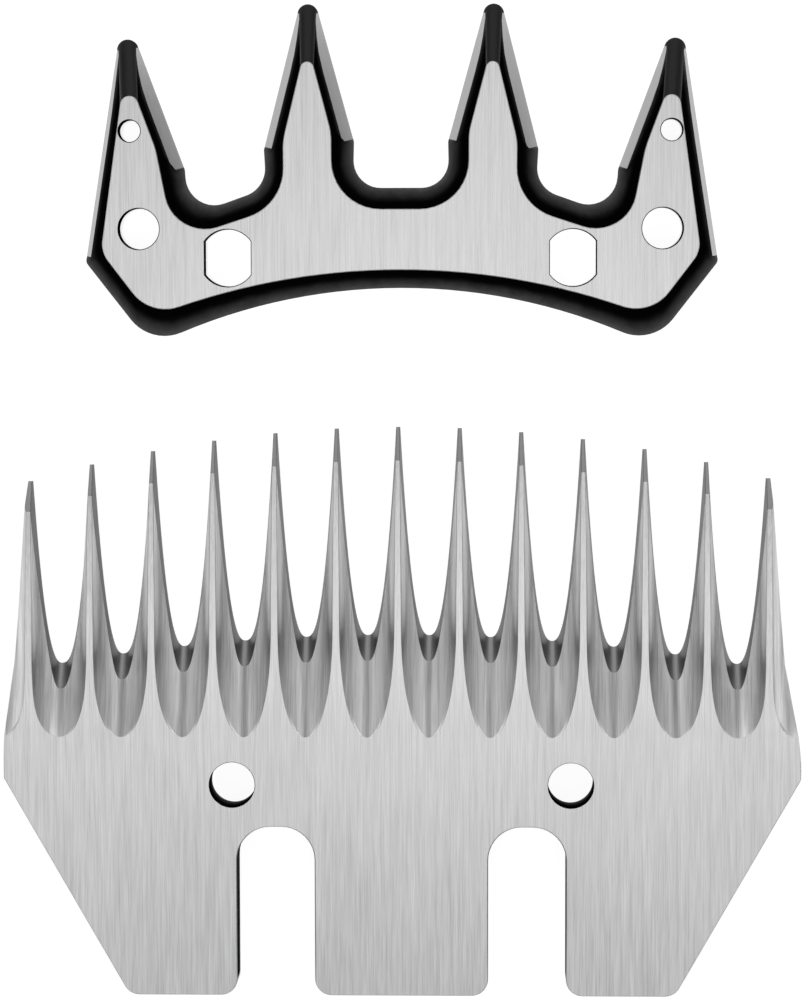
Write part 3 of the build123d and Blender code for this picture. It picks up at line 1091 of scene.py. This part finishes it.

# A row of like lanes (flutes or gaps) with painted shade and highlight across it: its pitch and offset, and
# the painted tones of a lane near the ridge, on its side and along its middle; near and far are the
# distances from the ridge, in pitches, between which the first tone turns into the second.
PaintedLaneShade = namedtuple("PaintedLaneShade", "pitch offset near far ridge side middle")


def new_material(name):
    """Material with its tree, its main shader and the object's own coordinates."""
    found = bpy.data.materials.get(name)
    if found:
        return found, None, None, None
    material = bpy.data.materials.new(name)
    material.use_nodes = True
    tree = material.node_tree
    shader = tree.nodes["Principled BSDF"]
    place = tree.nodes.new("ShaderNodeTexCoord").outputs["Object"]
    return material, tree, shader, place


def grain(tree, place, across, along, detail=3.0, up=None):
    """Factor of a noise whose cells are this long across X, along Y and up Z (as across if not given)."""
    scale = (1 / across, 1 / along, 1 / (up or across))
    mapped = node(tree, "ShaderNodeMapping", Vector=place, Scale=scale).outputs[0]
    noise = node(tree, "ShaderNodeTexNoise", Vector=mapped, Scale=1.0, Detail=detail, Roughness=0.6)
    return noise.outputs["Fac"]


def spread(tree, factor, low, high, out_low, out_high):
    """Factor stretched from low..high to out_low..out_high."""
    ranged = node(tree, "ShaderNodeMapRange", Value=factor)
    for name, value in (("From Min", low), ("From Max", high), ("To Min", out_low), ("To Max", out_high)):
        ranged.inputs[name].default_value = value
    return ranged.outputs[0]


def tinted(tree, colour, factor):
    """Colour multiplied by a factor."""
    scaled = node(tree, "ShaderNodeVectorMath", set_operation="SCALE", Scale=factor)
    scaled.inputs[0].default_value = colour
    return scaled.outputs[0]


def painted_lane_shade(tree, place, painted_lanes):
    """Factor that paints shade and highlight across every lane, in its three tones."""
    pitch = painted_lanes.pitch
    across = node(tree, "ShaderNodeSeparateXYZ", Vector=place).outputs[0]
    from_tooth = calc(tree, "PINGPONG", calc(tree, "SUBTRACT", across, painted_lanes.offset), pitch / 2)
    inward = spread(tree, from_tooth, painted_lanes.near * pitch, painted_lanes.far * pitch, painted_lanes.ridge, painted_lanes.side)
    start, end = (share * pitch for share in PAINTED_MIDDLE_BAND)
    along_middle = spread(tree, from_tooth, start, end, 1.0, painted_lanes.middle / painted_lanes.side)
    return calc(tree, "MULTIPLY", inward, along_middle)


def brushed_steel(name, colour, roughness, streak, depth, contrast, painted_lanes=None):
    """Steel with long fine streaks along Y, from the belt or stone that finished it; painted shade across
    lanes.

    streak is how much the streaks vary the roughness, depth the strength of their bump and contrast how
    much they vary the tone.
    """
    material, tree, shader, place = new_material(name)
    if tree is None:
        return material
    brushing = bpy.context.scene.shearing_finishes.brushing
    depth, contrast = depth * brushing, contrast * brushing
    # In a flute or gap the streaks follow the slope of the lane.
    rise = LANE_STREAK_RISE if painted_lanes else None
    fine = grain(tree, place, *FINE_STREAK, 2.0, rise)
    coarse = grain(tree, place, *COARSE_STREAK, 2.0, rise)
    cloud = grain(tree, place, *CLOUD, 1.0)
    mix = calc(tree, "MULTIPLY_ADD", coarse, 1 - FINE_SHARE, calc(tree, "MULTIPLY", fine, FINE_SHARE))
    shade = spread(tree, mix, *MOST_NOISE, 1 - contrast, 1 + contrast)
    # Painted shade and highlight across each flute or gap, in place of the light and shade across the
    # hollow.
    if painted_lanes:
        shade = calc(tree, "MULTIPLY", shade, painted_lane_shade(tree, place, painted_lanes))
    slow = spread(tree, cloud, *MOST_NOISE, 1 - CLOUD_CONTRAST, 1 + CLOUD_CONTRAST)
    tree.links.new(tinted(tree, colour, calc(tree, "MULTIPLY", shade, slow)), shader.inputs["Base Color"])
    shader.inputs["Metallic"].default_value = 1.0
    rough = spread(tree, mix, *MOST_NOISE, roughness - streak, roughness + streak)
    tree.links.new(rough, shader.inputs["Roughness"])
    bump = node(tree, "ShaderNodeBump", Strength=depth, Distance=STEEL_BUMP, Height=mix)
    tree.links.new(bump.outputs[0], shader.inputs["Normal"])
    return material


def black_coat(name, colour, painted_sheen_tone, sheen, roughness):
    """Black coating over forged steel, faintly uneven, with a painted sheen that greys it low on the
    flanks.
    """
    material, tree, shader, place = new_material(name)
    if tree is None:
        return material
    speck = grain(tree, place, *SPECK, 4.0)
    patch = grain(tree, place, *PATCH, 3.0)
    # Painted sheen: the colour turns from the coat's tone to the sheen tone lower down, unevenly.
    height = node(tree, "ShaderNodeSeparateXYZ", Vector=place).outputs[2]
    uneven = calc(tree, "MULTIPLY_ADD", patch, PAINTED_SHEEN_UNEVEN, height)
    painted_sheen_share = calc(tree, "POWER", spread(tree, uneven, *PAINTED_SHEEN_FADE, 1.0, 0.0), PAINTED_SHEEN_CURVE)
    mixed = node(tree, "ShaderNodeMix", set_data_type="RGBA", Factor=painted_sheen_share)
    mixed.inputs[6].default_value = (*colour, 1.0)
    mixed.inputs[7].default_value = (*painted_sheen_tone, 1.0)
    tree.links.new(mixed.outputs[2], shader.inputs["Base Color"])
    shader.inputs["Specular IOR Level"].default_value = sheen
    rough = spread(tree, speck, *MOST_NOISE, roughness - 0.05, roughness + 0.05)
    tree.links.new(rough, shader.inputs["Roughness"])
    bump = node(tree, "ShaderNodeBump", Strength=0.2, Distance=COAT_BUMP, Height=speck)
    tree.links.new(bump.outputs[0], shader.inputs["Normal"])
    return material


def finishes(look):
    """All finishes, in the order of the finish zones."""
    comb = bpy.context.scene.shearing_comb
    row = (comb.pitch, comb.row_offset)
    # Flutes: painted shade near the ridges and along the middle. Gaps: painted shade near the teeth,
    # painted highlight along the middle.
    flutes = PaintedLaneShade(*row, near=0.07, far=0.28, ridge=0.62, side=1.2, middle=0.66)
    gaps = PaintedLaneShade(*row, near=0.26, far=0.40, ridge=0.28, side=1.2, middle=1.25)
    return [
        brushed_steel("steel_face", look.face, 0.36, streak=0.06, depth=0.45, contrast=0.26),
        brushed_steel("steel_flute", look.flute, 0.4, streak=0.03, depth=0.08, contrast=0.3, painted_lanes=flutes),
        brushed_steel("steel_gap_wall", look.wall, 0.42, streak=0.05, depth=0.4, contrast=0.14, painted_lanes=gaps),
        brushed_steel("steel_tip_bevel", look.bevel, 0.36, streak=0.05, depth=0.2, contrast=0.06),
        brushed_steel("steel_ground", look.ground, 0.4, streak=0.05, depth=0.3, contrast=0.06),
        # The coat carries the painted sheen low on the flanks; the scale's two tones are the same, so it
        # has none.
        black_coat("black_coat", look.coat, look.painted_coat_sheen, sheen=0.0, roughness=0.5),
        black_coat("black_scale", look.scale, look.scale, sheen=0.22, roughness=0.4),
        brushed_steel("steel_bore", look.bore, 0.2, streak=0.04, depth=0.1, contrast=0.03),
    ]


# ---------------------------------------------------------------- stage


FLOOR_DROP = 0.02 * MM  # how far the floor lies under the blades
FLOOR_SHADE = 0.3
SENSOR_WIDTH = 36.0
CLIP = (0.01, 10.0)

# Place, size and brightness of each light.
SOFTBOXES = {
    "left_softbox": ((-0.29, -0.1, 0.5), (0.3, 0.9), 0.87),
    "right_softbox": ((0.29, -0.1, 0.5), (0.3, 0.9), 0.87),
    "front_softbox": ((0.0, 0.42, 0.22), (0.4, 0.3), 1.1),
}


def softbox(name, place, size, brightness):
    """Soft rectangular light aimed at the middle of the blades, whose surface has this brightness."""
    data = bpy.data.lights.new(name, "AREA")
    data.shape = "RECTANGLE"
    data.size, data.size_y = size
    data.energy = brightness * math.pi * size[0] * size[1]
    made = new_object(name, data)
    made.location = place
    made.rotation_euler = (Vector() - Vector(place)).to_track_quat("-Z", "Y").to_euler()


def pale_floor(settings):
    """Plain pale floor just under the blades."""
    half = settings.floor_size / 2
    data = bpy.data.meshes.new("floor")
    corners = [(-half, -half), (half, -half), (half, half), (-half, half)]
    data.from_pydata([(x, y, -FLOOR_DROP) for x, y in corners], [], [(0, 1, 2, 3)])
    floor = new_object("floor", data)
    material = bpy.data.materials.new("pale_floor")
    material.use_nodes = True
    shader = material.node_tree.nodes["Principled BSDF"]
    shader.inputs["Base Color"].default_value = (FLOOR_SHADE, FLOOR_SHADE, FLOOR_SHADE, 1)
    shader.inputs["Roughness"].default_value = 0.9
    shader.inputs["Specular IOR Level"].default_value = 0.1
    shader.inputs["Emission Color"].default_value = (1, 1, 1, 1)
    shader.inputs["Emission Strength"].default_value = settings.floor_glow
    data.materials.append(material)


class SHEARING_OT_stage(bpy.types.Operator):
    """Sets up the camera above the blades, the pale floor and the studio lights"""

    bl_idname = "shearing.stage"
    bl_label = "Set up stage"

    def execute(self, context):
        s = context.scene.shearing_stage
        scene = context.scene
        data = bpy.data.cameras.new("camera")
        data.lens = s.lens
        data.sensor_width = SENSOR_WIDTH
        data.clip_start, data.clip_end = CLIP
        camera = new_object("camera", data)
        stand = Vector((s.camera_x, s.camera_y, s.camera_z))
        back = (stand - Vector((s.aim_x, s.aim_y, s.aim_z))).normalized()
        up = Vector((math.sin(s.roll), math.cos(s.roll), 0))
        right = up.cross(back).normalized()
        turned = Matrix((right, back.cross(right), back)).transposed()
        camera.matrix_world = Matrix.Translation(stand) @ turned.to_4x4()
        scene.camera = camera
        pale_floor(s)
        world = bpy.data.worlds.new("studio")
        scene.world = world
        world.use_nodes = True
        world.node_tree.nodes["Background"].inputs["Strength"].default_value = s.sky
        world.node_tree.nodes["Background"].inputs["Color"].default_value = (1, 1, 1, 1)
        scene.view_settings.view_transform = "Standard"
        for name, (place, size, brightness) in SOFTBOXES.items():
            softbox(name, place, size, brightness)
        return {"FINISHED"}


class SHEARING_PT_panel(bpy.types.Panel):
    """Lists the blades' builders and settings"""

    bl_idname = "SHEARING_PT_panel"
    bl_label = "Shearing blades"
    bl_space_type = "VIEW_3D"
    bl_region_type = "UI"
    bl_category = "Shearing"

    def draw(self, context):
        for operator in (SHEARING_OT_comb, SHEARING_OT_cutter, SHEARING_OT_stage):
            self.layout.operator(operator.bl_idname)
        for name, group in SETTINGS.items():
            box = self.layout.box()
            settings = getattr(context.scene, name)
            for key in group.__annotations__:
                box.prop(settings, key)


SETTINGS = {
    "shearing_comb": CombSizes,
    "shearing_cutter": CutterSizes,
    "shearing_finishes": Finishes,
    "shearing_stage": StageSettings,
}
CLASSES = [*SETTINGS.values(), SHEARING_OT_comb, SHEARING_OT_cutter, SHEARING_OT_stage, SHEARING_PT_panel]


def register():
    for kind in CLASSES:
        bpy.utils.register_class(kind)
    for name, group in SETTINGS.items():
        setattr(bpy.types.Scene, name, bpy.props.PointerProperty(type=group))


def unregister():
    for name in SETTINGS:
        delattr(bpy.types.Scene, name)
    for kind in reversed(CLASSES):
        bpy.utils.unregister_class(kind)


def main():
    register()
    bpy.ops.shearing.comb()
    bpy.ops.shearing.cutter()
    bpy.ops.shearing.stage()


if __name__ == "__main__":
    main()
